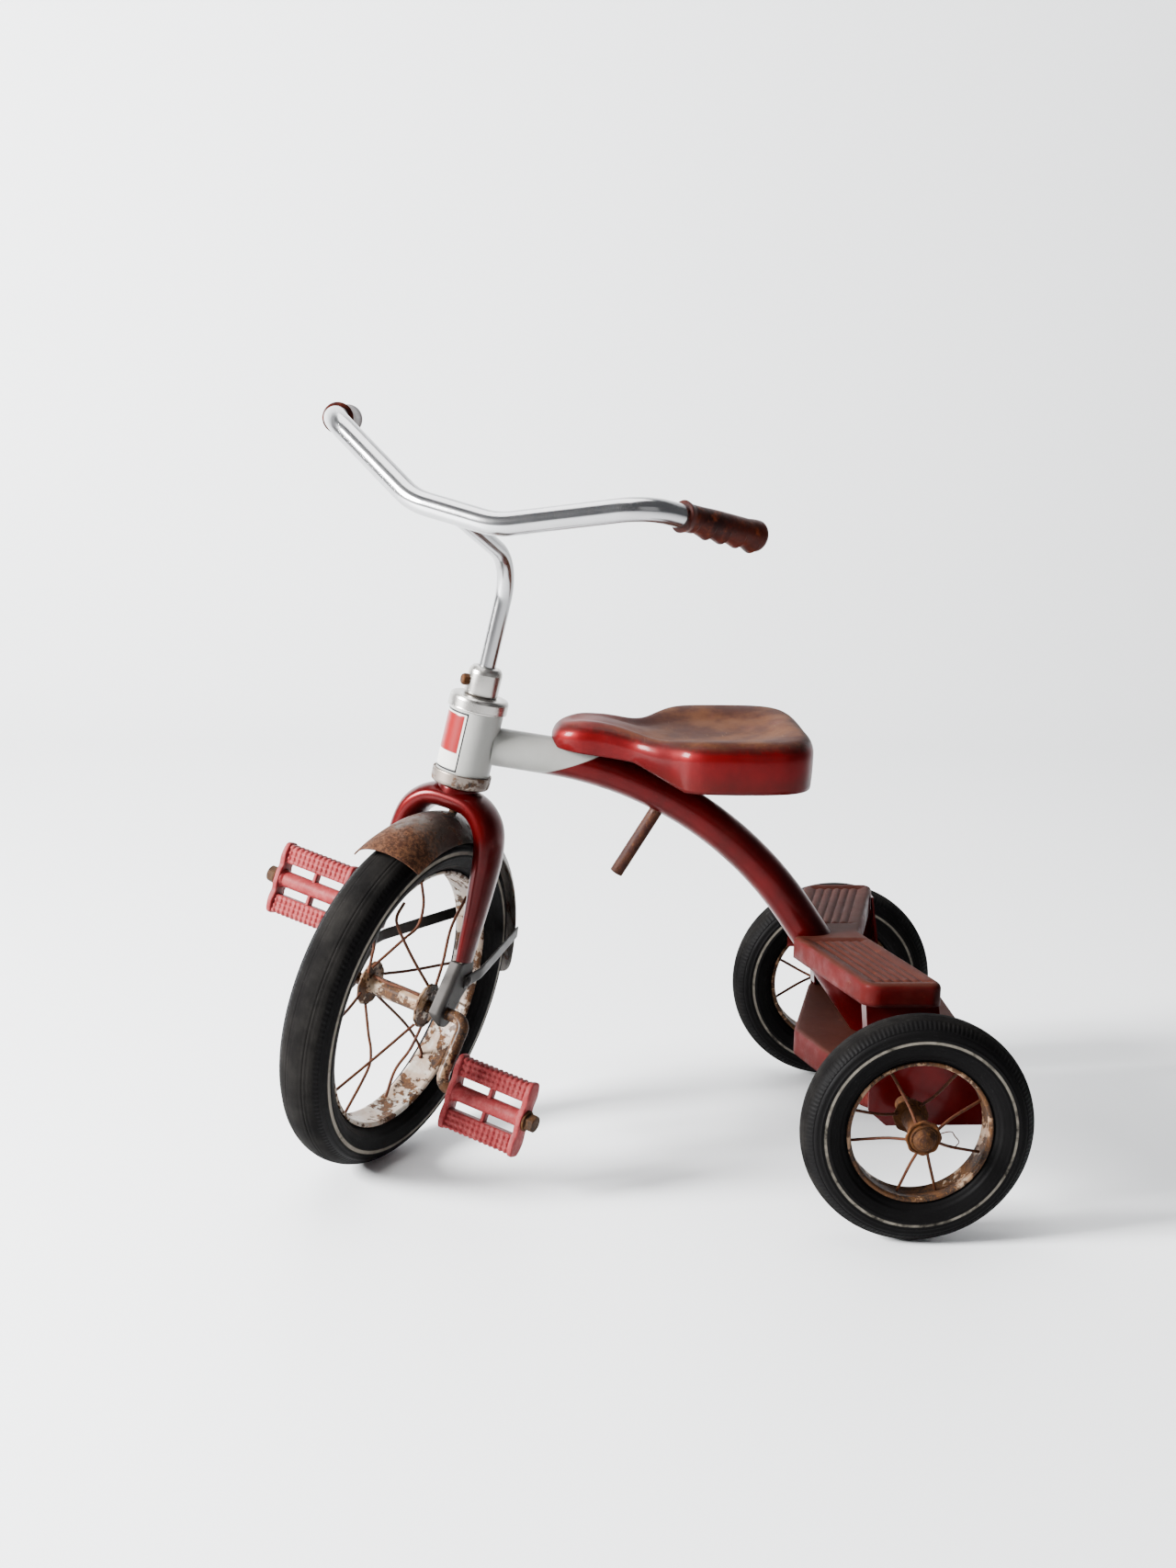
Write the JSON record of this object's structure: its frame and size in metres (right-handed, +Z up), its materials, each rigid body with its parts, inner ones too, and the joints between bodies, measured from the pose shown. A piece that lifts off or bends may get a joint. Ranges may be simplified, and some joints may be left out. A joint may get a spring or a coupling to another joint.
{
  "type": "children's tricycle",
  "caption": "Child's pedal tricycle: bent tube backbone, pan seat on a post, ribbed rear deck over a lower step, front fender, curved handlebar with grips.",
  "frame": {"origin": "centre of the bounding box, at the floor the wheels stand on", "axes": "+X to the rider's left, -Y the way it travels, +Z up"},
  "size_m": [0.4816, 0.6588, 0.6783],
  "materials": {
    "red_paint": "metallic red enamel, worn and rusted through in places",
    "white_paint": "white enamel, chipped",
    "rim_paint": "off-white enamel with orange-brown rust",
    "hub_paint": "off-white enamel with rust",
    "chrome": "bright plating with small rust spots",
    "fender_chrome": "dulled plating, heavily rusted",
    "grey_steel": "dull grey plating",
    "rusty_steel": "rusted steel",
    "spoke_steel": "rusted wire",
    "tyre": "black rubber with a worn off-white line",
    "grip_rubber": "aged brown-red rubber",
    "pedal_plastic": "faded red moulding"
  },
  "bodies": {
    "main_frame": {"head_tube": "white_paint", "head_cup_lower": "chrome", "head_cup_upper": "chrome", "head_bush_lower": "rusty_steel", "head_bush_upper": "rusty_steel", "backbone_tube": "red_paint", "step_deck": "red_paint", "leg_left": "red_paint", "leg_right": "red_paint", "lower_step": "red_paint", "rear_axle": "rusty_steel", "axle_washers": "rusty_steel", "axle_spacers": "rusty_steel", "axle_caps": "rusty_steel"},
    "seat": {"seat_pan": "red_paint", "seat_bracket": "red_paint", "seat_post": "rusty_steel", "seat_rivets": "rusty_steel"},
    "front_fork": {"fork_crown": "red_paint", "fork_blade_left": "red_paint", "fork_blade_right": "red_paint", "steerer_tube": "rusty_steel", "stem_collar": "chrome", "collar_bolt": "rusty_steel", "fork_end_left": "grey_steel", "fork_end_right": "grey_steel", "fork_end_rivets": "rusty_steel", "fender": "fender_chrome", "fender_bolt": "rusty_steel", "fender_stay_left": "grey_steel", "fender_stay_right": "grey_steel"},
    "handlebar": {"handlebar_stem": "chrome", "handlebar_tube": "chrome", "grip_left": "grip_rubber", "grip_right": "grip_rubber"},
    "front_wheel": {"front_tyre": "tyre", "front_rim": "rim_paint", "front_hub": "hub_paint", "front_spokes": "spoke_steel", "crank": "rusty_steel", "pedal_washers": "rusty_steel", "pedal_nuts": "rusty_steel"},
    "left_pedal": {"pedal_left": "pedal_plastic"},
    "right_pedal": {"pedal_right": "pedal_plastic"},
    "left_rear_wheel": {"rear_tyre_left": "tyre", "rear_rim_left": "rim_paint", "rear_hub_left": "rusty_steel", "rear_spokes_left": "spoke_steel"},
    "right_rear_wheel": {"rear_tyre_right": "tyre", "rear_rim_right": "rim_paint", "rear_hub_right": "rusty_steel", "rear_spokes_right": "spoke_steel"}
  },
  "joints": [
    {"name": "steering", "type": "hinge", "parent": "main_frame", "child": "front_fork", "pos_m": [0, -0.14319, 0.38671], "axis": [0, 0.2147, 0.9767], "continuous": true},
    {"name": "handlebar_height", "type": "slide", "parent": "front_fork", "child": "handlebar", "axis": [0, 0.2147, 0.9767], "range_m": [-0.03, 0.03]},
    {"name": "seat_height", "type": "slide", "parent": "main_frame", "child": "seat", "axis": [0, 0.515, 0.8572], "range_m": [0, 0.06]},
    {"name": "front_wheel_spin", "type": "hinge", "parent": "front_fork", "child": "front_wheel", "pos_m": [0.01872, -0.20537, 0.15772], "axis": [0.5255, 0.831, -0.1827], "continuous": true},
    {"name": "left_pedal_spin", "type": "hinge", "parent": "front_wheel", "child": "left_pedal", "pos_m": [0.10264, -0.12673, 0.08355], "axis": [0.5255, 0.831, -0.1827], "continuous": true},
    {"name": "right_pedal_spin", "type": "hinge", "parent": "front_wheel", "child": "right_pedal", "pos_m": [-0.0652, -0.28402, 0.23189], "axis": [0.5255, 0.831, -0.1827], "continuous": true},
    {"name": "left_rear_wheel_spin", "type": "hinge", "parent": "main_frame", "child": "left_rear_wheel", "pos_m": [0.205, 0.22943, 0.1], "axis": [1, 0, 0], "continuous": true},
    {"name": "right_rear_wheel_spin", "type": "hinge", "parent": "main_frame", "child": "right_rear_wheel", "pos_m": [-0.205, 0.22943, 0.1], "axis": [1, 0, 0], "continuous": true}
  ]
}
